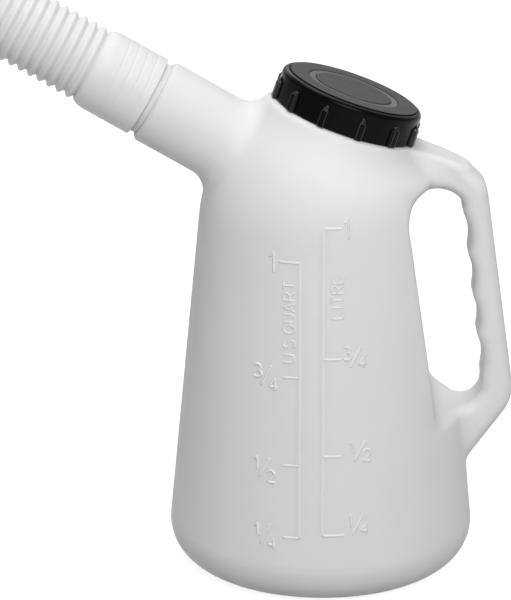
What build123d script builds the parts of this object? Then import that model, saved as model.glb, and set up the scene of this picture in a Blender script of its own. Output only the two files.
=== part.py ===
from build123d import *
import os
from math import cos, radians, sin, tan

os.makedirs("parts", exist_ok=True)

# Jug wall, thicker at the sides of the handle, and the length by which cutting forms run past what they cut
wall = 1.6
handle_side_wall = 2.4
overrun = 60.0

# Round tapered body, which stands on a ring around a raised base panel
foot_radius = 57.4
foot_rounding = 15.0
foot_inner_bevel = 10.5
body_top_radius = 44.7
body_top_height = 132.0
base_ring_width = 19.7
base_panel_slope = 6.0
base_panel_height = 3.0

# Domed shoulder, which leans toward the handle, and the band that carries the flat land around the neck
neck_lean = 19.0
neck_shift = 7.0
neck_rise = 35.2
land_width = 5.1
land_rounding = 2.4
band_width = 2.6
band_share = 0.86
dome_taper = 0.22
dome_power = 2.6
dome_steps = 5
dome_step_power = 1.7
shoulder_reach_share = 1.12

# Filler neck on the land
neck_radius = 23.0
neck_wall = 1.8
neck_height = 8.4

# Handle, a hollow web behind the body with its outer edge rounded
handle_width = 19.0
handle_edge_rounding = 4.2
handle_root_rounding = 8.0
grip_lean = 8.3
arch_reach = 14.1
arch_rise = 12.1
arch_lean = 39.0
arch_rounding = 12.0
heel_height = 63.4
heel_lean = 35.7
heel_rounding = 16.0

# Finger loop through the web, with finger rests along the grip
loop_edge_rounding = 4.0
loop_roof_draw = 17.2
loop_roof_rise = 5.2
loop_roof_rounding = 8.5
loop_floor_draw = 3.8
loop_floor_drop = 2.4
loop_floor_rounding = 7.5
grip_top_depth = 8.9
grip_top_drop = 5.7
grip_top_rounding = 4.0
grip_foot_depth = 10.9
grip_foot_rounding = 8.0
rest_count = 4
rest_depth = 1.4
rest_top_margin = 5.0
rest_foot_margin = 11.4
rest_ridge_rounding = 5.0

# Spout branch, a round stub that starts inside the body
spout_rise = 30.0
spout_axis_rise = 7.0
stub_radius = 15.6
stub_reach = 25.5
stub_start = 22.0
stub_root_rounding = 8.5
stub_edge_bevel = 1.2

# Screw cap with grip ribs, a raised top panel and a ring sunk in it
cap_thread_room = 1.5
cap_wall = 1.7
cap_roof = 2.0
cap_land_gap = 0.4
cap_edge_bevel = 1.3
cap_rim_width = 2.0
cap_panel_step = 0.4
cap_ring_radius = 16.9
cap_ring_width = 2.2
cap_ring_depth = 0.6
rib_count = 12
rib_phase = 9.3
rib_width = 2.6
rib_proud = 1.4
rib_height = 7.4
rib_slope = 2.2

# Flat seals, and the gap at which flat faces rest on each other
seat_gap = 0.1
seal_side_gap = 0.3
cap_seal_thickness = 1.2
washer_thickness = 1.5
washer_lap = 0.1

# Spigot at the end of the stub, and the flexible spout: screw collar, ringed bending length and plain nozzle
spigot_length = 19.5
collar_step = 0.5
collar_thread_room = 1.2
collar_gap = 2.4
collar_wall = 1.3
collar_roof = 0.8
collar_shoulder_length = 3.6
ring_count = 14
ring_pitch = 3.85
ring_crest_drop = 0.9
ring_depth = 2.2
ring_wall = 0.9
cuff_step = 0.8
cuff_length = 6.0
nozzle_taper_length = 22.0
nozzle_radius = 8.5
nozzle_length = 26.0
nozzle_wall = 1.0

# Places and radii that follow from these sizes
base_ring_radius = foot_radius - base_ring_width
base_panel_radius = base_ring_radius - base_panel_slope
neck_foot_height = body_top_height + neck_rise
land_radius = neck_radius + land_width
band_radius = land_radius + band_width
arch_x = body_top_radius + arch_reach
arch_height = body_top_height + arch_rise
heel_x = arch_x + (arch_height - heel_height) * tan(radians(grip_lean))
spout_axis_height = body_top_height + spout_axis_rise
stub_length = body_top_radius + stub_reach
collar_radius = stub_radius - collar_step
collar_bore_radius = collar_radius - collar_wall
spigot_radius = collar_bore_radius - collar_thread_room
spigot_bore_radius = spigot_radius - wall
cap_bore_radius = neck_radius + cap_thread_room
cap_radius = cap_bore_radius + cap_wall


def neck_plane(height):
    """Plane across the filler neck, at a height above the shoulder's land."""
    lean = radians(neck_lean)
    out = Vector(sin(lean), 0, cos(lean))
    foot = Vector(neck_shift, 0, neck_foot_height)
    return Plane(origin=foot + out * height, x_dir=(cos(lean), 0, -sin(lean)), z_dir=out)


def spout_plane(reach):
    """Plane across the spout, at a distance along its axis from the middle of the body."""
    rise = radians(spout_rise)
    out = Vector(-cos(rise), 0, sin(rise))
    root = Vector(0, 0, spout_axis_height)
    return Plane(origin=root + out * reach, x_dir=(sin(rise), 0, cos(rise)), z_dir=out)


def half_section(across):
    """Plane for half a turned profile: x is the radius, y runs along the axis of a cross plane."""
    return Plane(origin=across.origin, x_dir=across.x_dir, z_dir=across.x_dir.cross(across.z_dir))


def turned(across, angle):
    """Cross plane turned about its own axis."""
    turn = radians(angle)
    x_dir = across.x_dir * cos(turn) + across.y_dir * sin(turn)
    return Plane(origin=across.origin, x_dir=x_dir, z_dir=across.z_dir)


def turning_axis(across):
    """Axis of a turned piece, square to a cross plane."""
    return Axis(across.origin, across.z_dir)


def lies_in(edge, plane):
    """Whether an edge lies in a plane."""
    return all(plane.contains(edge @ share) for share in (0, 1 / 2, 1))


def round_corner(corner, radius):
    """Round one corner of the sketch being drawn."""
    fillet(vertices().sort_by_distance(corner)[0], radius)


def shoulder_ring(share, inset):
    """Plane and radius of one ring of the shoulder, at a share of the rise from the body's top to the land."""
    lean = radians(neck_lean) * share**2
    out = Vector(sin(lean), 0, cos(lean))
    middle = Vector(neck_shift * share**2, 0, body_top_height + neck_rise * share)
    radius = land_radius
    if share <= band_share:
        dome = share / band_share
        growth = 1 - dome_taper * dome - (1 - dome_taper) * dome**dome_power
        radius = band_radius + (body_top_radius - band_radius) * growth
    return Plane(origin=middle, x_dir=(0, 1, 0), z_dir=out), radius - inset


def web_form(inset, side_inset):
    """Handle before its finger loop is cut: a flat web, with its outer edge rounded on the outside."""
    top_height = arch_height + arch_x / tan(radians(arch_lean))
    end_height = heel_height - (heel_x - body_top_radius) / tan(radians(heel_lean))
    with BuildPart() as web:
        with BuildSketch(Plane.XZ):
            with BuildLine():
                Polyline(
                    (0, end_height),
                    (0, top_height),
                    (arch_x, arch_height),
                    (heel_x, heel_height),
                    (body_top_radius, end_height),
                    close=True,
                )
            make_face()
            round_corner((arch_x, arch_height), arch_rounding)
            round_corner((heel_x, heel_height), heel_rounding)
            if inset > 0:
                offset(amount=-inset)
        extrude(amount=handle_width / 2 - side_inset, both=True)
        if inset == 0:
            flank_edges = faces().filter_by(Axis.Y).edges()
            outer_edges = flank_edges.filter_by(Axis.X, reverse=True).filter_by(Axis.Z, reverse=True)
            fillet(outer_edges, handle_edge_rounding)
        split(bisect_by=neck_plane(-inset), keep=Keep.BOTTOM)
    return web.part


def loop_form(inset):
    """Finger loop as a cutting form, with its finger rests, grown by an inset."""
    roof = Vector(body_top_radius - loop_roof_draw, arch_height + loop_roof_rise)
    floor = Vector(body_top_radius - loop_floor_draw, heel_height - loop_floor_drop)
    grip_top = Vector(arch_x - grip_top_depth, arch_height - grip_top_drop)
    grip_foot = Vector(heel_x - grip_foot_depth, floor.Y)
    grip = grip_foot - grip_top
    rest_length = (grip.length - rest_top_margin - rest_foot_margin) / rest_count
    ridge_places = [rest_top_margin + rest_length * index for index in range(rest_count + 1)]
    ridges = [grip_top + grip.normalized() * place for place in ridge_places]
    with BuildPart() as loop:
        with BuildSketch(Plane.XZ):
            with BuildLine():
                Polyline(ridges[-1], grip_foot, floor, roof, grip_top, ridges[0])
                for start, end in zip(ridges, ridges[1:]):
                    ThreePointArc(start, (start + end) / 2 + Vector(rest_depth, 0), end)
            make_face()
            round_corner(roof, loop_roof_rounding)
            round_corner(floor, loop_floor_rounding)
            round_corner(grip_top, grip_top_rounding)
            round_corner(grip_foot, grip_foot_rounding)
            for ridge in ridges:
                round_corner(ridge, rest_ridge_rounding)
            if inset > 0:
                offset(amount=inset)
        extrude(amount=overrun, both=True)
    return loop.part


def jug_form(inset, side_inset):
    """Closed form of the jug, drawn in by an inset. The outside, with no inset, has its edges rounded."""
    outside = inset == 0
    land = neck_plane(-inset)
    ring_shares = [band_share * (step / dome_steps) ** dome_step_power for step in range(dome_steps + 1)]
    web = web_form(inset, side_inset)
    loop = loop_form(inset)
    with BuildPart() as form:
        # Tapered wall, foot and raised base panel
        with BuildSketch(Plane.YZ):
            with BuildLine():
                Polyline(
                    (0, base_panel_height + inset),
                    (base_panel_radius, base_panel_height + inset),
                    (base_ring_radius, inset),
                    (foot_radius - inset, inset),
                    (body_top_radius - inset, body_top_height),
                    (0, body_top_height),
                    close=True,
                )
            make_face()
            foot = vertices().sort_by_distance((foot_radius - inset, inset))[0]
            if outside:
                fillet(foot, foot_rounding)
            else:
                chamfer(foot, foot_inner_bevel)
        revolve(axis=Axis.Z)
        # Leaning shoulder, left long for its land to cut
        for share in (*ring_shares, 1, shoulder_reach_share):
            plane, radius = shoulder_ring(share, inset)
            with BuildSketch(plane):
                Circle(radius)
        loft()
        # Stub of the spout
        with BuildSketch(spout_plane(stub_start)):
            Circle(stub_radius - inset)
        extrude(amount=stub_length - inset - stub_start)
        if outside:
            fillet(edges(Select.NEW), stub_root_rounding)
        # Flat land, then the handle's web behind it
        split(bisect_by=land, keep=Keep.BOTTOM)
        add(web)
        if outside:
            root = edges(Select.NEW).filter_by(lambda edge: not lies_in(edge, land))
            fillet(root, handle_root_rounding)
            fillet(edges().filter_by(lambda edge: lies_in(edge, land)), land_rounding)
        # Finger loop
        add(loop, mode=Mode.SUBTRACT)
        if outside:
            fillet(edges(Select.NEW), loop_edge_rounding)
    return form.part


# Jug body: closed form, hollowed, with its neck and spigot
outer_form = jug_form(0, 0)
inner_form = jug_form(wall, handle_side_wall)
stub_end = spout_plane(stub_length)

with BuildPart() as jug_body:
    add(outer_form)
    stub_rim = edges().filter_by(lambda edge: lies_in(edge, stub_end))
    chamfer(stub_rim, stub_edge_bevel)
    with BuildSketch(neck_plane(0)):
        Circle(neck_radius)
    extrude(amount=neck_height)
    with BuildSketch(stub_end):
        Circle(spigot_radius)
    extrude(amount=spigot_length)
    add(inner_form, mode=Mode.SUBTRACT)
    with BuildSketch(neck_plane(neck_height)):
        Circle(neck_radius - neck_wall)
    extrude(amount=-neck_height - 2 * wall, mode=Mode.SUBTRACT)
    with BuildSketch(spout_plane(stub_length + spigot_length)):
        Circle(spigot_bore_radius)
    extrude(amount=-spigot_length - 2 * wall, mode=Mode.SUBTRACT)

# Cap seal, a disc on the rim of the neck
with BuildPart() as cap_seal:
    with BuildSketch(neck_plane(neck_height + seat_gap)):
        Circle(cap_bore_radius - seal_side_gap)
    extrude(amount=cap_seal_thickness)

# Screw cap, turned about the neck, with ribs around its skirt
cap_foot = neck_plane(cap_land_gap)
cap_ceiling = neck_height + cap_seal_thickness + 2 * seat_gap - cap_land_gap
cap_height = cap_ceiling + cap_roof
cap_edge_height = cap_height - cap_panel_step
cap_panel_radius = cap_radius - cap_rim_width
cap_ring_height = cap_height - cap_ring_depth

with BuildPart() as screw_cap:
    with BuildSketch(half_section(cap_foot)):
        with BuildLine():
            Polyline(
                (cap_bore_radius, 0),
                (cap_radius, 0),
                (cap_radius, cap_edge_height),
                (cap_panel_radius, cap_edge_height),
                (cap_panel_radius, cap_height),
                (cap_ring_radius, cap_height),
                (cap_ring_radius, cap_ring_height),
                (cap_ring_radius - cap_ring_width, cap_ring_height),
                (cap_ring_radius - cap_ring_width, cap_height),
                (0, cap_height),
                (0, cap_ceiling),
                (cap_bore_radius, cap_ceiling),
                close=True,
            )
        make_face()
        chamfer(vertices().sort_by_distance((cap_radius, cap_edge_height))[0], cap_edge_bevel)
    revolve(axis=turning_axis(cap_foot))
    for index in range(rib_count):
        rib_foot = turned(cap_foot, rib_phase + index * 360 / rib_count)
        with BuildSketch(half_section(rib_foot)):
            with BuildLine():
                Polyline(
                    (cap_radius - cap_wall / 2, 0),
                    (cap_radius + rib_proud, 0),
                    (cap_radius + rib_proud, rib_height - rib_slope),
                    (cap_radius, rib_height),
                    (cap_radius - cap_wall / 2, rib_height),
                    close=True,
                )
            make_face()
        extrude(amount=rib_width / 2, both=True)

# Spout washer, a ring on the rim of the spigot
with BuildPart() as spout_washer:
    with BuildSketch(spout_plane(stub_length + spigot_length + seat_gap)):
        Circle(collar_bore_radius - seal_side_gap)
        Circle(spigot_bore_radius - washer_lap, mode=Mode.SUBTRACT)
    extrude(amount=washer_thickness)

# Flexible spout, turned about its axis, with distances counted from the stub's end
seat_distance = spigot_length + washer_thickness + 2 * seat_gap
collar_end = seat_distance + collar_roof
ring_start = collar_end + collar_shoulder_length
ring_end = ring_start + ring_count * ring_pitch
cuff_end = ring_end + cuff_length
tip_start = cuff_end + nozzle_taper_length
tip_end = tip_start + nozzle_length
ring_crest_radius = collar_radius - ring_crest_drop
ring_root_radius = ring_crest_radius - ring_depth
cuff_radius = ring_root_radius + cuff_step

with BuildPart() as flexible_spout:
    with BuildSketch(half_section(stub_end)):
        with BuildLine():
            outside = [(collar_radius, collar_gap), (collar_radius, collar_end)]
            for index in range(ring_count):
                start = ring_start + index * ring_pitch
                outside.append((ring_root_radius, start))
                outside.append((ring_crest_radius, start + ring_pitch / 2))
            outside.append((ring_root_radius, ring_end))
            outside.append((cuff_radius, ring_end))
            outside.append((cuff_radius, cuff_end))
            outside.append((nozzle_radius, tip_start))
            outside.append((nozzle_radius, tip_end))
            inside = [
                (nozzle_radius - nozzle_wall, tip_end),
                (nozzle_radius - nozzle_wall, tip_start),
                (ring_root_radius - ring_wall, cuff_end),
                (ring_root_radius - ring_wall, seat_distance),
                (collar_bore_radius, seat_distance),
                (collar_bore_radius, collar_gap),
            ]
            Polyline(*outside, *inside, close=True)
        make_face()
    revolve(axis=turning_axis(stub_end))

for piece, name in (
    (jug_body, "jug_body"),
    (cap_seal, "cap_seal"),
    (screw_cap, "screw_cap"),
    (spout_washer, "spout_washer"),
    (flexible_spout, "flexible_spout"),
):
    piece.part.label = name
    export_step(piece.part, f"parts/{name}.step")
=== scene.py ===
from math import cos, exp, pi, radians, sin

import bmesh
import bpy
import numpy as np
from mathutils import Matrix, Vector
from mathutils.bvhtree import BVHTree
from mathutils.interpolate import poly_3d_calc


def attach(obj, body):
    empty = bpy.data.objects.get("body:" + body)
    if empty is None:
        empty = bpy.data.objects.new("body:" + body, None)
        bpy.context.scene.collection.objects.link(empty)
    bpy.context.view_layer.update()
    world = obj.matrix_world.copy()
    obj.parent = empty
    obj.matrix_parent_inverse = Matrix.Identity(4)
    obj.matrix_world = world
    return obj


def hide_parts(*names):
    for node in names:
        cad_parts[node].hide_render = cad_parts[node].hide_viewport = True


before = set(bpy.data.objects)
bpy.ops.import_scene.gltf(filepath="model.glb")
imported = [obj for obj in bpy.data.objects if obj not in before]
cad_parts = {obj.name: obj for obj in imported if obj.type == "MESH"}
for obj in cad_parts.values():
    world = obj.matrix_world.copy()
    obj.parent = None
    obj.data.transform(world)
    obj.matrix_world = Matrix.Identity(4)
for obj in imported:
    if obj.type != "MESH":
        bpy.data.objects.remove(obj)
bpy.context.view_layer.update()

# Lengths are in millimetres and are turned into metres with MM
MM = 0.001
TURN = 2 * pi

# Axes of the filler neck and the spout
neck_lean = radians(19.0)
neck_foot = Vector((7.0, 0.0, 167.2))
neck_axis = Vector((sin(neck_lean), 0.0, cos(neck_lean)))
neck_radius = 23.0
spout_rise = radians(30.0)
spout_axis = Vector((-cos(spout_rise), 0.0, sin(spout_rise)))
spout_root = Vector((0.0, 0.0, 139.0))
stub_length = 70.2
spigot_radius = 12.6


def local_frame(origin, axis):
    """Frame with its Z along an axis of the middle plane, its Y square to that plane, in metres."""
    z_dir = axis.normalized()
    y_dir = Vector((0.0, 1.0, 0.0))
    x_dir = y_dir.cross(z_dir)
    place = Matrix((x_dir, y_dir, z_dir)).transposed().to_4x4()
    place.translation = origin * MM
    return place


def smooth(value):
    """Smooth step from 0 to 1."""
    share = np.clip(value, 0.0, 1.0)
    return share * share * (3.0 - 2.0 * share)


def arc(centre, radius, start, end, steps):
    """Points of a profile along an arc, with its angles in degrees."""
    return oval(centre, (radius, radius), start, end, steps)


def oval(centre, radii, start, end, steps):
    """Points along an arc of an oval, with its angles in degrees."""
    turns = np.radians(np.linspace(start, end, steps))
    return [(centre[0] + radii[0] * cos(t), centre[1] + radii[1] * sin(t)) for t in turns]


def run(start, end, spacing):
    """Points along a straight run, both ends included."""
    start, end = np.array(start, float), np.array(end, float)
    count = max(1, int(np.ceil(np.linalg.norm(end - start) / spacing)))
    return [tuple(start + (end - start) * k / count) for k in range(count + 1)]


def add_piece(name, points, faces, body, materials, sharp_angle=40.0):
    """Mesh object from points in metres, shaded smooth except across sharp edges, riding on a body."""
    mesh = bpy.data.meshes.new(name)
    mesh.from_pydata([tuple(p) for p in points], [], faces)
    mesh.validate()
    mesh.shade_smooth()
    mesh.set_sharp_from_angle(angle=radians(sharp_angle))
    for material in materials:
        mesh.materials.append(material)
    piece = bpy.data.objects.new(name, mesh)
    bpy.context.scene.collection.objects.link(piece)
    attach(piece, body)
    return piece


def turned(rows, place):
    """Points and faces of a turned surface. A row is a ring of points, or one point on the axis."""
    points, faces, starts = [], [], []
    for row in rows:
        starts.append(len(points))
        points.extend(place @ (Vector(p) * MM) for p in row)
    for k in range(len(rows)):
        after = (k + 1) % len(rows)
        low, high = len(rows[k]), len(rows[after])
        if low == 1 and high == 1:
            continue
        count = max(low, high)
        for j in range(count):
            i = (j + 1) % count
            a, b = starts[k] + j % low, starts[k] + i % low
            c, d = starts[after] + i % high, starts[after] + j % high
            corners = [a, b, c, d]
            faces.append([p for n, p in enumerate(corners) if p not in corners[:n]])
    return points, faces


def ring_rows(profile, angles, relief=None):
    """Rings of points from a profile of radius and height, with a relief added to the radius."""
    rows = []
    for radius, height in profile:
        if radius == 0:
            rows.append([(0.0, 0.0, height)])
            continue
        reach = radius + (relief(height, angles) if relief else 0.0 * angles)
        heights = np.full_like(angles, height)
        rows.append(list(zip(reach * np.cos(angles), reach * np.sin(angles), heights)))
    return rows


def thread_relief(pitch, start, low, high, width, depth, flank):
    """Relief of a right-hand thread between two heights, with a rounded flank and tapered ends."""

    def relief(height, angles):
        turns = (height - start) / pitch - angles / TURN
        away = np.abs(turns - np.round(turns)) * pitch
        shape = smooth((width / 2 - away) / flank)
        return depth * shape * smooth(height - low) * smooth(high - height)

    return relief


def swept_ridge(centres, sides, normals, section, taper):
    """Points and faces of a section of (side, up) points swept along a line and drawn in at its ends."""
    points, faces = [], []
    count, size = len(centres), len(section)
    for k in range(count):
        share = min(1.0, (min(k, count - 1 - k) + 1) / taper)
        for side, up in section:
            raised = up * share if up > 0 else up
            points.append(centres[k] + sides[k] * (side * MM) + normals[k] * (raised * MM))
    for k in range(count - 1):
        for j in range(size):
            i = (j + 1) % size
            faces.append([k * size + j, k * size + i, (k + 1) * size + i, (k + 1) * size + j])
    faces.append(list(range(size))[::-1])
    faces.append([(count - 1) * size + j for j in range(size)])
    return points, faces


# Materials
# A noise is given by its scale and its detail
tint_noise = (38.0, 4.0)
gloss_noise = (120.0, 3.0)
gloss_noise_low = 0.3
gloss_noise_high = 0.7
gloss_spread = 0.05
wave_noise = (28.0, 2.0)
wave_strength = 0.12
wave_depth = 0.4
grain_detail = 3.0
grain_strength = 0.25
polyethylene_specular = 0.35


def plastic(name, colour, spread, roughness, grain_scale, grain_depth, sockets=None):
    """Moulded plastic: colour and roughness that vary a little, with a fine grain over soft waves."""
    material = bpy.data.materials.new(name)
    material.use_nodes = True
    nodes, links = material.node_tree.nodes, material.node_tree.links
    shader = nodes["Principled BSDF"]
    place = nodes.new("ShaderNodeTexCoord")

    def noise(scale, detail):
        node = nodes.new("ShaderNodeTexNoise")
        node.inputs["Scale"].default_value = scale
        node.inputs["Detail"].default_value = detail
        links.new(place.outputs["Object"], node.inputs["Vector"])
        return node.outputs["Fac"]

    tint = nodes.new("ShaderNodeMix")
    tint.data_type = "RGBA"
    tint.inputs["A"].default_value = (*[max(0.0, c - spread) for c in colour], 1.0)
    tint.inputs["B"].default_value = (*[c + spread for c in colour], 1.0)
    links.new(noise(*tint_noise), tint.inputs["Factor"])
    links.new(tint.outputs["Result"], shader.inputs["Base Color"])
    gloss = nodes.new("ShaderNodeMapRange")
    gloss.inputs["From Min"].default_value = gloss_noise_low
    gloss.inputs["From Max"].default_value = gloss_noise_high
    gloss.inputs["To Min"].default_value = roughness - gloss_spread
    gloss.inputs["To Max"].default_value = roughness + gloss_spread
    links.new(noise(*gloss_noise), gloss.inputs["Value"])
    links.new(gloss.outputs["Result"], shader.inputs["Roughness"])
    wave = nodes.new("ShaderNodeBump")
    wave.inputs["Strength"].default_value = wave_strength
    wave.inputs["Distance"].default_value = wave_depth * MM
    links.new(noise(*wave_noise), wave.inputs["Height"])
    grain = nodes.new("ShaderNodeBump")
    grain.inputs["Strength"].default_value = grain_strength
    grain.inputs["Distance"].default_value = grain_depth * MM
    links.new(noise(grain_scale, grain_detail), grain.inputs["Height"])
    links.new(wave.outputs["Normal"], grain.inputs["Normal"])
    links.new(grain.outputs["Normal"], shader.inputs["Normal"])
    for socket, value in (sockets or {}).items():
        shader.inputs[socket].default_value = value
    return material


def milky(weight, depth):
    """Shader values of polyethylene, which lets light in to a depth."""
    return {
        "Specular IOR Level": polyethylene_specular,
        "Subsurface Weight": weight,
        "Subsurface Radius": (1.0, 1.0, 1.0),
        "Subsurface Scale": depth * MM,
    }


polyethylene = plastic(
    "jug_polyethylene", (0.80, 0.80, 0.80), spread=0.015, roughness=0.58,
    grain_scale=1500.0, grain_depth=0.05, sockets=milky(weight=0.25, depth=4.0),
)
# The raised scale is the body's polyethylene painted lighter: a painted highlight where its ridges catch
# the light
scale_painted_highlight = plastic(
    "scale_polyethylene_painted_highlight", (0.92, 0.92, 0.92), spread=0.008, roughness=0.44,
    grain_scale=1500.0, grain_depth=0.03, sockets=milky(weight=0.25, depth=4.0),
)
spout_white = plastic(
    "spout_polyethylene", (0.80, 0.80, 0.80), spread=0.012, roughness=0.46,
    grain_scale=1800.0, grain_depth=0.04, sockets=milky(weight=0.20, depth=2.0),
)
cap_black = plastic(
    "cap_black", (0.0022, 0.0022, 0.0024), spread=0.0005, roughness=0.24,
    grain_scale=2600.0, grain_depth=0.03, sockets={"Specular IOR Level": 0.07},
)
# Lighter, glossier black for the ribs' edges and the shoulder's top rows: a painted highlight where they
# catch the lamps
cap_rib_painted_highlight = plastic(
    "cap_rib_painted_highlight", (0.013, 0.013, 0.014), spread=0.003, roughness=0.32,
    grain_scale=2600.0, grain_depth=0.03, sockets={"Specular IOR Level": 0.30},
)
# Lighter greys for the cap's top and its band: a painted sheen of the light from above on the same black
# plastic
cap_top_painted_sheen = plastic(
    "cap_top_painted_sheen", (0.060, 0.060, 0.061), spread=0.004, roughness=0.50,
    grain_scale=3200.0, grain_depth=0.10,
)
cap_band_painted_sheen = plastic(
    "cap_band_painted_sheen", (0.150, 0.150, 0.151), spread=0.006, roughness=0.42,
    grain_scale=3200.0, grain_depth=0.05,
)
liner_white = plastic(
    "liner_white", (0.72, 0.72, 0.70), spread=0.03, roughness=0.75,
    grain_scale=2400.0, grain_depth=0.15,
)
washer_black = plastic(
    "washer_black", (0.03, 0.03, 0.03), spread=0.006, roughness=0.70,
    grain_scale=2200.0, grain_depth=0.15,
)

for node, material in (("cap_seal", liner_white), ("spout_washer", washer_black)):
    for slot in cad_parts[node].material_slots:
        slot.material = material

# Jug: its CAD surface, with three corners of the finger loop and the arch of the handle drawn rounder
# Each draw has its middle and its shift, both across and up, and its reach
jug_draws = (
    ((33.6, 142.0), (-1.4, 1.1), 3.8),
    ((45.7, 141.0), (0.35, 1.2), 3.4),
    ((52.8, 150.5), (-0.5, -1.0), 4.0),
    ((43.4, 63.2), (-0.7, -1.6), 4.0),
)
draw_zone_reaches = 3.4
draw_spacing = 2.0
draw_halvings = 7
draw_probe = 0.05


def drawn(place):
    """Where a place of the jug's wall lies once it is drawn."""
    moved = place.copy()
    for (x, z), (across, up), reach in jug_draws:
        away = ((place.x / MM - x) ** 2 + (place.z / MM - z) ** 2) / reach**2
        moved.x += across * MM * exp(-away / 2)
        moved.z += up * MM * exp(-away / 2)
    return moved


def drawn_normal(place, normal):
    """Outward direction at a place of the wall once it is drawn."""
    side = normal.orthogonal().normalized() * (draw_probe * MM)
    along = normal.cross(side)
    centre = drawn(place)
    return (drawn(place + side) - centre).cross(drawn(place + along) - centre).normalized()


def in_draw_zone(place):
    """Whether a place is near enough to a draw to be moved by it."""
    for (x, z), _, reach in jug_draws:
        limit = draw_zone_reaches * reach
        if abs(place.x / MM - x) < limit and abs(place.z / MM - z) < limit:
            return True
    return False


def is_long_in_zone(edge):
    """Whether an edge is longer than the spacing and has an end or its middle in a draw's zone."""
    if edge.calc_length() <= draw_spacing * MM:
        return False
    start, end = edge.verts[0].co, edge.verts[1].co
    return any(in_draw_zone(place) for place in (start, end, (start + end) / 2))


def divided(mesh):
    """Copy of a mesh with finer faces in the draws' zones, and the layer that holds each face's source."""
    shape = bmesh.new()
    shape.from_mesh(mesh)
    source = shape.faces.layers.int.new("source")
    for face in shape.faces:
        face[source] = face.index
    for _ in range(draw_halvings):
        long_edges = [edge for edge in shape.edges if is_long_in_zone(edge)]
        bmesh.ops.subdivide_edges(shape, edges=long_edges, cuts=1)
        bmesh.ops.triangulate(shape, faces=[face for face in shape.faces if len(face.verts) > 3])
    shape.verts.index_update()
    return shape, source


cad_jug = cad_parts["jug_body"].data
cad_normals = [Vector(corner.vector) for corner in cad_jug.corner_normals]


def cad_normal(face, place):
    """Outward direction at a place of a CAD face, between those at the face's corners."""
    corners = [cad_jug.vertices[k].co for k in face.vertices]
    normal = Vector((0.0, 0.0, 0.0))
    for share, k in zip(poly_3d_calc(corners, place), face.loop_indices):
        normal += cad_normals[k] * share
    return normal.normalized()


jug_shape, source = divided(cad_jug)
points, faces, corner_normals = [], [], {}
for vertex in jug_shape.verts:
    points.append(drawn(vertex.co) if in_draw_zone(vertex.co) else vertex.co.copy())
for face in jug_shape.faces:
    ends = [vertex.index for vertex in face.verts]
    faces.append(ends)
    for vertex in face.verts:
        normal = cad_normal(cad_jug.polygons[face[source]], vertex.co)
        if in_draw_zone(vertex.co):
            normal = drawn_normal(vertex.co, normal)
        corner_normals[frozenset(ends), vertex.index] = normal
jug_shape.free()
jug = add_piece("jug_moulding", points, faces, "jug", [polyethylene], 180.0)

# A sliver that repeats another face is left out of the mesh, so each direction is found by its face
jug.data.normals_split_custom_set(
    [corner_normals[frozenset(face.vertices), k] for face in jug.data.polygons for k in face.vertices]
)
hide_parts("jug_body")

# Threads, with a section of (side, up) points and the share of a turn in which an end rises
thread_section = [
    (-1.0, -0.3), (-0.85, 0.0), (-0.4, 0.85), (0.0, 1.0), (0.4, 0.85), (0.85, 0.0), (1.0, -0.3),
]
thread_run_in = 0.125


def thread_ridge(place, radius, pitch, low, high, section, steps):
    """Ridge that winds around an axis as a right-hand thread."""
    count = int(steps * (high - low) / pitch)
    centres, sides, normals = [], [], []
    turn = place.to_3x3()
    for k in range(count + 1):
        angle = TURN * k / steps
        height = low + pitch * k / steps
        centres.append(place @ (Vector((radius * cos(angle), radius * sin(angle), height)) * MM))
        sides.append(turn @ Vector((0.0, 0.0, -1.0)))
        normals.append(turn @ Vector((cos(angle), sin(angle), 0.0)))
    return swept_ridge(centres, sides, normals, section, steps * thread_run_in)


# Filler neck's thread
cap_pitch = 4.0
neck_thread_low = 2.2
neck_thread_high = 6.9
neck_thread_steps = 96
neck_place = local_frame(neck_foot, neck_axis)
points, faces = thread_ridge(
    neck_place, neck_radius, cap_pitch, neck_thread_low, neck_thread_high, thread_section, neck_thread_steps
)
add_piece("neck_thread", points, faces, "jug", [polyethylene])

# Spigot's thread
spout_pitch = 3.7
spigot_thread_low = 4.2
spigot_thread_high = 16.0
spigot_thread_steps = 72
spigot_thread_width_share = 0.85
spigot_thread_rise_share = 0.8
spout_place = local_frame(spout_root + spout_axis * stub_length, spout_axis)
spigot_section = [
    (side * spigot_thread_width_share, up * spigot_thread_rise_share) for side, up in thread_section
]
points, faces = thread_ridge(
    spout_place, spigot_radius, spout_pitch, spigot_thread_low, spigot_thread_high, spigot_section,
    spigot_thread_steps,
)
add_piece("spigot_thread", points, faces, "jug", [polyethylene])

# Low ring around the spigot's root, with its edge as points drawn in and down
bead_root = 12.4
bead_radius = 13.5
bead_seat = 0.05
bead_height = 2.36
bead_edge = [(0.0, 0.26), (0.1, 0.06), (0.3, 0.0)]
bead_steps = 96
bead_profile = [(bead_root, bead_seat), (bead_radius, bead_seat)]
bead_profile += [(bead_radius - drawn_in, bead_height - down) for drawn_in, down in bead_edge]
bead_profile += [(bead_root, bead_height)]
bead_angles = np.linspace(0.0, TURN, bead_steps, endpoint=False)
points, faces = turned(ring_rows(bead_profile, bead_angles), spout_place)
add_piece("spigot_bead", points, faces, "jug", [polyethylene])

# Screw cap, with heights counted from its foot
cap_foot_height = 0.4
cap_radius = 26.2
cap_bore = 24.5
cap_height = 11.4
cap_land = 11.0
cap_roof = 9.4
cap_foot_edge = 0.3
cap_foot_softening = 0.1
cap_shoulder_rounding = 1.9
cap_shoulder_steps = 9
cap_roof_corner = 0.4
cap_sharp_angle = 30.0

# Grip ribs of the cap
rib_count = 12
rib_step = TURN / rib_count
rib_phase = radians(9.3)
rib_half_width = 1.3
rib_proud = 1.4
rib_height = 8.2
rib_slope = 2.4
rib_edge = 0.35
rib_narrowing = 0.8
# Width of the painted highlight along each rib's edge
rib_highlight_width = 0.5
rib_margin = 0.2

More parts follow.
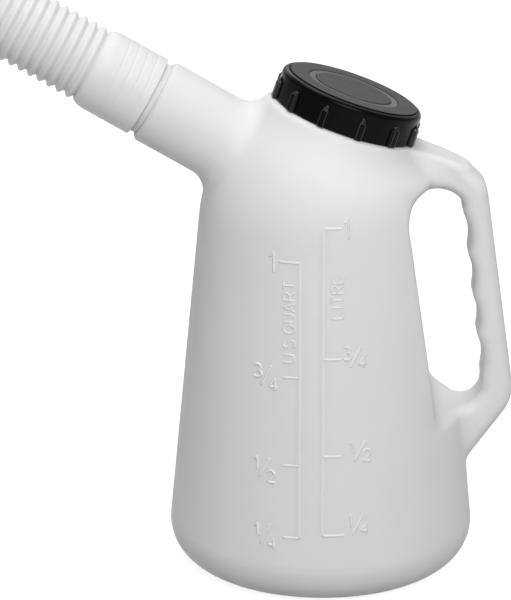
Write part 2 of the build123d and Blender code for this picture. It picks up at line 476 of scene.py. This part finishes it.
# Angles of the cap's points, close together at the edges of each rib
rib_marks = np.array([0.0, 0.4, 0.8, 1.0, 1.15, 1.3, 1.45, 1.6, 1.9, 2.6, 3.8, 5.4]) / cap_radius
rib_fan = np.concatenate([-rib_marks[:0:-1], rib_marks, [rib_step / 2]])
cap_angles = np.concatenate([rib_phase + rib_step * k + rib_fan for k in range(rib_count)])


def rib_climb(height):
    """Share of a rib's sloped top that lies below a height."""
    return np.clip((height - (rib_height - rib_slope)) / rib_slope, 0.0, 1.0)


def from_rib(angles):
    """Distance around the cap's side from the middle of the nearest rib."""
    ribs = (angles - rib_phase) / rib_step
    return np.abs(ribs - np.round(ribs)) * rib_step * cap_radius


def rib_relief(height, angles):
    """Grip ribs with a sloped, pointed top."""
    climb = rib_climb(height)
    half = rib_half_width * (1.0 - climb * rib_narrowing)
    return rib_proud * (1.0 - climb) * smooth((half + rib_edge / 2 - from_rib(angles)) / rib_edge)


def on_rib_edge(height, angle):
    """Whether a place of the cap's side is on the edge or sloped top of a rib, where a painted highlight
    goes.
    """
    if height > rib_height:
        return False
    away = from_rib(angle)
    climb = rib_climb(height)
    if climb > 0.0:
        return away < rib_half_width * (1.0 - climb)
    return rib_half_width - rib_highlight_width < away < rib_half_width + rib_edge / 2


# Grooves of the cap's top: a line around the panel, and a band with a fine line on each side
groove_floor = 10.6
line_outer = 24.18
line_inner = 23.98
line_draft = 0.04
line_lip = 0.02
panel_outer = 23.5
panel_inner = 17.2
band_outer = 16.9
band_inner = 14.4
band_height = 11.1
band_lip = (0.08, 0.04)
band_line_floor = 10.7
band_line_widths = (0.18, 0.24)
band_softening = 0.05
groove_outer = 14.34
groove_inner = 14.14
disc_radius = 13.6
disc_middle = 1.0
under_middle = 2.0


def groove_rise(inner, draft, lip, softening):
    """Points from a groove's floor up to the cap's level top, with a softened edge."""
    return [(inner, groove_floor), (inner - draft, cap_height - lip), (inner - softening, cap_height)]


cap_foot = [
    (cap_radius - cap_foot_edge, 0.0),
    (cap_radius - cap_foot_softening, cap_foot_softening),
    (cap_radius, cap_foot_edge),
]
cap_side = run((cap_radius, 2 * cap_foot_edge), (cap_radius, rib_height + rib_margin), spacing=0.28)
cap_shoulder = arc(
    (cap_radius - cap_shoulder_rounding, cap_land - cap_shoulder_rounding),
    cap_shoulder_rounding, 0, 90, cap_shoulder_steps,
)
cap_line = [(line_outer + line_draft, cap_land - line_lip), (line_outer, groove_floor)]
cap_line += groove_rise(line_inner, draft=line_draft, lip=0.10, softening=0.18)
cap_panel = run((panel_outer, cap_height), (panel_inner, cap_height), spacing=1.5)
cap_band = [
    (band_outer + band_lip[0], cap_height - band_lip[1]),
    (band_outer, band_line_floor + band_softening),
    (band_outer - band_line_widths[0], band_line_floor),
    (band_outer - band_line_widths[1], band_height),
    (band_inner + 2 * band_softening, band_height),
    (band_inner, band_height - band_softening),
]
cap_groove = [(groove_outer, groove_floor)]
cap_groove += groove_rise(groove_inner, draft=0.06, lip=0.08, softening=0.24)
cap_disc = run((disc_radius, cap_height), (disc_middle, cap_height), spacing=2.0) + [(0, cap_height)]
cap_under = [(0, cap_roof)]
cap_under += run((under_middle, cap_roof), (cap_bore - cap_roof_corner, cap_roof), spacing=3.0)
cap_under += [(cap_bore - cap_foot_softening, cap_roof - cap_foot_softening)]
cap_inner = run((cap_bore, cap_roof - cap_roof_corner), (cap_bore, cap_roof_corner), spacing=0.2)
cap_thread = thread_relief(
    cap_pitch, start=neck_thread_low + cap_pitch / 2 - cap_foot_height, low=0.5, high=8.4,
    width=1.9, depth=-0.95, flank=0.475,
)

cap_rows = ring_rows([(cap_bore + cap_foot_edge, 0.0)], cap_angles)
cap_rows += ring_rows(cap_foot + cap_side, cap_angles, rib_relief)
cap_rows += ring_rows(cap_shoulder, cap_angles)
after_highlit = len(cap_rows) - 1
first_panel = len(cap_rows) + len(cap_line) - 1
cap_rows += ring_rows(cap_line + cap_panel, cap_angles)
first_band = len(cap_rows) + 1
cap_rows += ring_rows(cap_band, cap_angles)
after_band = len(cap_rows) - 1
cap_rows += ring_rows(cap_groove + cap_disc, cap_angles)
after_panel = len(cap_rows)
cap_rows += ring_rows(cap_under, cap_angles)
cap_rows += ring_rows(cap_inner, cap_angles, cap_thread)
cap_place = local_frame(neck_foot + neck_axis * cap_foot_height, neck_axis)
points, faces = turned(cap_rows, cap_place)
cap_finishes = [cap_black, cap_top_painted_sheen, cap_band_painted_sheen, cap_rib_painted_highlight]
cap = add_piece(
    "screw_cap_moulding", points, faces, "cap", cap_finishes, cap_sharp_angle
)

# Finish of each face of the cap, by its row, with a painted highlight on the last rows of the shoulder as
# on the ribs' edges
highlit_rows = 3
first_highlit = after_highlit - highlit_rows
segments = len(cap_angles)
for number, polygon in enumerate(cap.data.polygons):
    row, column = divmod(number, segments)
    if first_band <= row < after_band:
        finish = cap_band_painted_sheen
    elif first_panel <= row < after_panel:
        finish = cap_top_painted_sheen
    elif first_highlit <= row < after_highlit:
        finish = cap_rib_painted_highlight
    elif row < first_highlit:
        middle = (cap_angles[column] + cap_angles[(column + 1) % segments]) / 2
        finish = cap_rib_painted_highlight if on_rib_edge(cap_rows[row][0][2], middle) else cap_black
    else:
        finish = cap_black
    polygon.material_index = cap_finishes.index(finish)
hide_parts("screw_cap")

# Flexible spout, with heights counted from the stub's end
collar_radius = 15.1
collar_bore = 13.8
collar_gap = 2.4
collar_rim_inner = 13.95
collar_rim_outer = 14.5
collar_rim_rounding = 0.5
collar_side_low = 3.2
collar_side_high = 20.2
collar_shoulder_low = 20.4
collar_shoulder_turn = 80
collar_shoulder_steps = 12
ring_start = 25.6
ring_count = 14
ring_pitch = 3.85
ring_steps = 14
ring_root = 12.6
ring_crest = 14.2
ring_sharpness = 1.5
ring_wall = 0.9
ring_end = ring_start + ring_count * ring_pitch
cuff_radius = 12.8
cuff_end = ring_end + 6.0
cuff_edge = (0.1, 0.15)
cuff_edge_rise = 0.5
cuff_margin = 1.0
tip_start = cuff_end + 22.0
tip_end = tip_start + 26.0
tip_radius = 8.5
tip_bore = 7.5
tip_softening = 0.1
tip_blend_below = 0.4
tip_blend_above = 0.6
tip_rim_margin = 0.5
tip_rim_rounding = 0.35
tip_bore_rounding = 0.3
tip_bore_margin = 1.0
spout_bore = 11.1
bore_margin_high = 0.4
bore_margin_low = 0.5
seat = 21.2
seat_edge = 0.2
seat_inner = 11.8
collar_bore_margin = 0.3
spout_steps = 144
spout_sharp_angle = 50.0


def ring_radius(share):
    """Outside of a ring: a narrow rounded crest between open valleys."""
    return ring_root + (ring_crest - ring_root) * abs(sin(pi * share)) ** ring_sharpness


collar_rim = [(collar_rim_inner, collar_gap), (collar_rim_outer, collar_gap)]
collar_rim += arc(
    (collar_radius - collar_rim_rounding, collar_gap + collar_rim_rounding), collar_rim_rounding, -80, 0, 6
)
collar_side = run((collar_radius, collar_side_low), (collar_radius, collar_side_high), spacing=0.22)
collar_shoulder = oval(
    (ring_root, collar_shoulder_low), (collar_radius - ring_root, ring_start - collar_shoulder_low),
    0, collar_shoulder_turn, collar_shoulder_steps,
)
rings_out, rings_in = [], []
for k in range(ring_count):
    for step in range(ring_steps):
        share = step / ring_steps
        height = ring_start + (k + share) * ring_pitch
        rings_out.append((ring_radius(share), height))
        rings_in.append((ring_radius(share) - ring_wall, height))
cuff = [(ring_root, ring_end)]
cuff += [(cuff_radius - cuff_edge[0], ring_end + cuff_edge[1]), (cuff_radius, ring_end + cuff_edge_rise)]
cuff += run((cuff_radius, ring_end + cuff_margin), (cuff_radius, cuff_end - cuff_margin), spacing=1.5)
cuff += run(
    (cuff_radius - tip_softening, cuff_end), (tip_radius + tip_softening, tip_start - tip_blend_below),
    spacing=2.0,
)
tip = run((tip_radius, tip_start + tip_blend_above), (tip_radius, tip_end - tip_rim_margin), spacing=3.0)
tip += arc((tip_radius - tip_rim_rounding, tip_end - tip_rim_rounding), tip_rim_rounding, 20, 90, 4)
tip_inside = arc(
    (tip_bore + tip_bore_rounding, tip_end - tip_bore_rounding), tip_bore_rounding, 90, 180, 4
)
tip_inside += run((tip_bore, tip_end - tip_bore_margin), (tip_bore, tip_start), spacing=4.0)
tip_inside += run(
    (tip_bore + tip_softening, tip_start - tip_bore_margin), (spout_bore, cuff_end), spacing=3.0
)
tip_inside += [(spout_bore, ring_end + bore_margin_high)]
collar_inside = [(spout_bore, ring_start - bore_margin_low)]
collar_inside += [(spout_bore, seat + seat_edge), (spout_bore + seat_edge, seat)]
collar_inside += run((seat_inner, seat), (collar_bore - seat_edge, seat), spacing=0.7)
collar_bore_side = run(
    (collar_bore, seat - collar_bore_margin), (collar_bore, collar_gap + collar_bore_margin), spacing=0.2
)

# The thread inside the collar, and the faint lines that it leaves on the outside
collar_thread = thread_relief(
    spout_pitch, start=spigot_thread_low + spout_pitch / 2, low=collar_gap + 0.4, high=18.5,
    width=1.6, depth=-0.75, flank=0.4,
)
collar_lines = thread_relief(
    spout_pitch, start=6.4, low=4.6, high=19.4, width=1.0, depth=-0.14, flank=0.45
)

spout_angles = np.linspace(0.0, TURN, spout_steps, endpoint=False)
spout_rows = ring_rows(collar_rim, spout_angles)
spout_rows += ring_rows(collar_side, spout_angles, collar_lines)
spout_rows += ring_rows(collar_shoulder + rings_out + cuff + tip + tip_inside, spout_angles)
spout_rows += ring_rows(rings_in[::-1] + collar_inside, spout_angles)
spout_rows += ring_rows(collar_bore_side, spout_angles, collar_thread)
points, faces = turned(spout_rows, spout_place)
spout = add_piece(
    "flexible_spout_moulding", points, faces, "spout", [spout_white], spout_sharp_angle
)
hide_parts("flexible_spout")

# Raised scale on the front of the body, painted lighter than the body as a painted highlight
ray_start = -300.0
ray_axis = Vector((0.0, 1.0, 0.0))
normal_spread = 2.5
ridge_points = 11
ridge_sink = 0.02
ridge_root = 0.35
stroke_spacing = 0.25
stroke_taper = 2
bow_steps = 15
letter_gap = 0.42
scale_sharp_angle = 75.0
jug_surface = BVHTree.FromPolygons(
    [vertex.co for vertex in cad_jug.vertices], [tuple(face.vertices) for face in cad_jug.polygons]
)


def front_point(x, z):
    """Point of the body's front at a place seen from the front, and its outward direction."""
    start = Vector((x, ray_start, z)) * MM
    place, normal, _, _ = jug_surface.ray_cast(start, ray_axis)
    total = Vector(normal)
    for dx, dz in ((1, 0), (-1, 0), (0, 1), (0, -1)):
        beside = Vector((dx, 0.0, dz)) * (normal_spread * MM)
        total += jug_surface.ray_cast(start + beside, ray_axis)[1]
    return place, total.normalized()


def ridge_section(width, rise):
    """Section of a raised line with soft flanks, sunk a little into the body."""
    sides = np.linspace(-width / 2, width / 2, ridge_points)
    section = [(side, rise * (1 + cos(TURN * side / width)) / 2 - ridge_sink) for side in sides]
    return [(-width / 2, -ridge_root)] + section + [(width / 2, -ridge_root)]


line_section = ridge_section(width=1.7, rise=0.24)
tick_section = ridge_section(width=1.35, rise=0.34)
letter_section = ridge_section(width=0.95, rise=0.38)
figure_section = ridge_section(width=1.1, rise=0.62)


def scale_stroke(corners, section):
    """Raised line on the body's front through places seen from the front."""
    places = [corners[0]]
    for start, end in zip(corners, corners[1:]):
        places += run(start, end, stroke_spacing)[1:]
    centres, normals = zip(*[front_point(x, z) for x, z in places])
    sides = []
    for k, normal in enumerate(normals):
        along = centres[min(k + 1, len(centres) - 1)] - centres[max(k - 1, 0)]
        sides.append(along.cross(normal).normalized())
    return swept_ridge(centres, sides, normals, section, stroke_taper)


def bow(centre, radii, start, end):
    """Round stroke of a figure or letter, with its angles in degrees."""
    return oval(centre, radii, start, end, bow_steps)


# Figures and letters as strokes in a box one unit wide and high
glyphs = {
    "1": [[(0.1, 0.74), (0.75, 1.0)], [(0.75, 1.0), (0.75, 0.0)]],
    "2": [bow((0.5, 0.7), (0.45, 0.3), 165, -40), [(0.84, 0.5), (0.0, 0.0)], [(0.0, 0.0), (1.0, 0.0)]],
    "3": [bow((0.42, 0.76), (0.46, 0.24), 140, -90), bow((0.42, 0.26), (0.55, 0.26), 90, -145)],
    "4": [[(0.72, 1.0), (0.0, 0.3)], [(0.0, 0.3), (1.0, 0.3)], [(0.72, 1.0), (0.72, 0.0)]],
    "/": [[(0.0, 0.0), (1.0, 1.0)]],
    "A": [[(0.0, 0.0), (0.5, 1.0)], [(0.5, 1.0), (1.0, 0.0)], [(0.18, 0.34), (0.82, 0.34)]],
    "E": [
        [(0.0, 0.0), (0.0, 1.0)],
        [(0.0, 1.0), (1.0, 1.0)],
        [(0.0, 0.52), (0.85, 0.52)],
        [(0.0, 0.0), (1.0, 0.0)],
    ],
    "I": [[(0.5, 0.0), (0.5, 1.0)]],
    "L": [[(0.0, 1.0), (0.0, 0.0)], [(0.0, 0.0), (1.0, 0.0)]],
    "Q": [bow((0.5, 0.5), (0.52, 0.5), 0, 360), [(0.6, 0.28), (1.0, -0.04)]],
    "R": [
        [(0.0, 0.0), (0.0, 1.0)],
        [(0.0, 1.0), *bow((0.55, 0.75), (0.42, 0.25), 90, -90), (0.0, 0.5)],
        [(0.5, 0.5), (1.0, 0.0)],
    ],
    "S": [bow((0.5, 0.75), (0.45, 0.25), 25, 270) + bow((0.5, 0.25), (0.48, 0.25), 90, -155)[1:]],
    "T": [[(0.0, 1.0), (1.0, 1.0)], [(0.5, 1.0), (0.5, 0.0)]],
    "U": [[(0.0, 1.0), *bow((0.5, 0.36), (0.5, 0.36), 180, 360), (1.0, 1.0)]],
}
narrow = {"I": 0.25, " ": 0.1}


def figure(name, centre, size):
    """Raised strokes of one figure in a box around a centre."""
    strokes = []
    for stroke in glyphs[name]:
        places = [(centre[0] + (u - 0.5) * size[0], centre[1] + (v - 0.5) * size[1]) for u, v in stroke]
        strokes.append(scale_stroke(places, figure_section))
    return strokes


def word(letters, centre, length, height):
    """Raised letters that read upward, in a box around a centre."""
    widths = [narrow.get(letter, 1.0) for letter in letters]
    unit = length / (sum(widths) + letter_gap * (len(letters) - 1))
    strokes, start = [], centre[1] - length / 2
    for letter, width in zip(letters, widths):
        for stroke in glyphs.get(letter, []):
            places = [(centre[0] + (0.5 - v) * height, start + u * width * unit) for u, v in stroke]
            strokes.append(scale_stroke(places, letter_section))
        start += (width + letter_gap) * unit
    return strokes


# Sizes of the figures, and their places from the middle of a fraction
one_size = (2.2, 7.4)
slash_size = (3.6, 7.2)
top_sizes = {"1": (1.5, 4.6), "3": (2.5, 4.6)}
top_left = 2.9
top_rise = 1.4
bottom_size = (2.6, 4.3)
bottom_right = 2.4
litre_bottom_drop = 1.8
quart_bottom_drop = 3.0


def scale_mark(line_x, fraction, height, tick_end, middle, bottom_drop):
    """Raised tick of a mark, from the scale's line to the tick's end, and its figure around a middle."""
    strokes = [scale_stroke([(line_x, height), (tick_end, height)], tick_section)]
    if fraction == "1":
        return strokes + figure("1", middle, one_size)
    x, z = middle
    top, bottom = fraction.split("/")
    strokes += figure(top, (x - top_left, z + top_rise), top_sizes[top])
    strokes += figure("/", middle, slash_size)
    strokes += figure(bottom, (x + bottom_right, z - bottom_drop), bottom_size)
    return strokes


# Each mark has its figure, its height, the end of its tick and the middle of its figure
litre_x = -0.6
litre_marks = (
    ("1", 138.8, 5.6, (7.4, 138.7)),
    ("3/4", 92.4, 5.7, (10.8, 93.1)),
    ("1/2", 57.4, 5.9, (12.6, 59.2)),
    ("1/4", 28.5, 7.3, (12.1, 32.4)),
)
quart_x = -8.85
quart_marks = (
    ("1", 126.5, -16.1, (-18.5, 126.2)),
    ("3/4", 85.5, -14.9, (-20.4, 85.5)),
    ("1/2", 53.7, -14.6, (-21.1, 52.1)),
    ("1/4", 27.3, -14.6, (-20.9, 27.8)),
)
scale_parts = []
for line_x, marks, bottom_drop in (
    (litre_x, litre_marks, litre_bottom_drop),
    (quart_x, quart_marks, quart_bottom_drop),
):
    heights = [height for _, height, _, _ in marks]
    scale_parts.append(scale_stroke([(line_x, min(heights)), (line_x, max(heights))], line_section))
    for mark in marks:
        scale_parts += scale_mark(line_x, *mark, bottom_drop)
scale_parts += word("U S QUART", centre=(-12.6, 105.3), length=28.7, height=4.0)
scale_parts += word("LITRE", centre=(4.3, 114.6), length=15.3, height=4.0)

points, faces = [], []
for part_points, part_faces in scale_parts:
    base = len(points)
    points += part_points
    faces += [[base + k for k in face] for face in part_faces]
add_piece("raised_scale", points, faces, "jug", [scale_painted_highlight], scale_sharp_angle)

# Floor, pale where the camera or a reflection sees it, with its reach in metres
floor_reach = 20.0
floor_colour = (0.40, 0.40, 0.40, 1.0)
floor_glow = 0.86


def floor_material():
    """Pale floor that keeps shadows and glows only where it is seen."""
    material = bpy.data.materials.new("floor_pale")
    material.use_nodes = True
    nodes, links = material.node_tree.nodes, material.node_tree.links
    nodes.clear()
    output = nodes.new("ShaderNodeOutputMaterial")
    both = nodes.new("ShaderNodeAddShader")
    diffuse = nodes.new("ShaderNodeBsdfDiffuse")
    diffuse.inputs["Color"].default_value = floor_colour
    glow = nodes.new("ShaderNodeEmission")
    path = nodes.new("ShaderNodeLightPath")
    seen = path.outputs["Is Camera Ray"]
    for kind in ("Is Glossy Ray", "Is Transmission Ray"):
        either = nodes.new("ShaderNodeMath")
        either.operation = "MAXIMUM"
        links.new(seen, either.inputs[0])
        links.new(path.outputs[kind], either.inputs[1])
        seen = either.outputs["Value"]
    strength = nodes.new("ShaderNodeMath")
    strength.operation = "MULTIPLY"
    strength.inputs[1].default_value = floor_glow
    links.new(seen, strength.inputs[0])
    links.new(strength.outputs["Value"], glow.inputs["Strength"])
    links.new(diffuse.outputs["BSDF"], both.inputs[0])
    links.new(glow.outputs["Emission"], both.inputs[1])
    links.new(both.outputs["Shader"], output.inputs["Surface"])
    return material


floor_mesh = bpy.data.meshes.new("floor")
floor_corners = [(x * floor_reach, y * floor_reach, 0.0) for x, y in ((-1, -1), (1, -1), (1, 1), (-1, 1))]
floor_mesh.from_pydata(floor_corners, [], [[0, 1, 2, 3]])
floor_mesh.materials.append(floor_material())
floor = bpy.data.objects.new("floor", floor_mesh)
bpy.context.scene.collection.objects.link(floor)

# World and lamps, with places and sizes in metres and powers in watts
world_strength = 0.36
world = bpy.data.worlds.new("studio")
bpy.context.scene.world = world
world.use_nodes = True
sky = world.node_tree.nodes["Background"]
sky.inputs["Color"].default_value = (1.0, 1.0, 1.0, 1.0)
sky.inputs["Strength"].default_value = world_strength


def softbox(name, place, target, size, power):
    """Rectangular area light that faces a target."""
    light = bpy.data.lights.new(name, "AREA")
    light.shape = "RECTANGLE"
    light.size, light.size_y = size
    light.energy = power
    lamp = bpy.data.objects.new(name, light)
    bpy.context.scene.collection.objects.link(lamp)
    lamp.location = place
    lamp.rotation_euler = (Vector(target) - Vector(place)).to_track_quat("-Z", "Y").to_euler()


softbox("key", place=(0.14, -0.93, 0.86), target=(0.0, 0.0, 0.10), size=(0.7, 0.6), power=8.7)
softbox("back", place=(-0.25, 1.00, 0.75), target=(0.0, 0.0, 0.10), size=(0.8, 0.6), power=1.4)
softbox("top", place=(-0.1, 0.20, 1.15), target=(0.0, 0.0, 0.15), size=(0.8, 0.6), power=3.7)

# Camera at the photograph's place, level from side to side and looking down
camera_place = Vector((-24.3, -1008.5, 422.7))
camera_dip = 17.8
focal_length = 174.0
sensor_width = 36.0
lens = bpy.data.cameras.new("camera")
lens.lens = focal_length
lens.sensor_width = sensor_width
camera = bpy.data.objects.new("camera", lens)
bpy.context.scene.collection.objects.link(camera)
camera.location = camera_place * MM
camera.rotation_euler = (radians(90.0 - camera_dip), 0.0, 0.0)
bpy.context.scene.camera = camera
bpy.context.scene.view_settings.view_transform = "Standard"

bpy.context.view_layer.update()
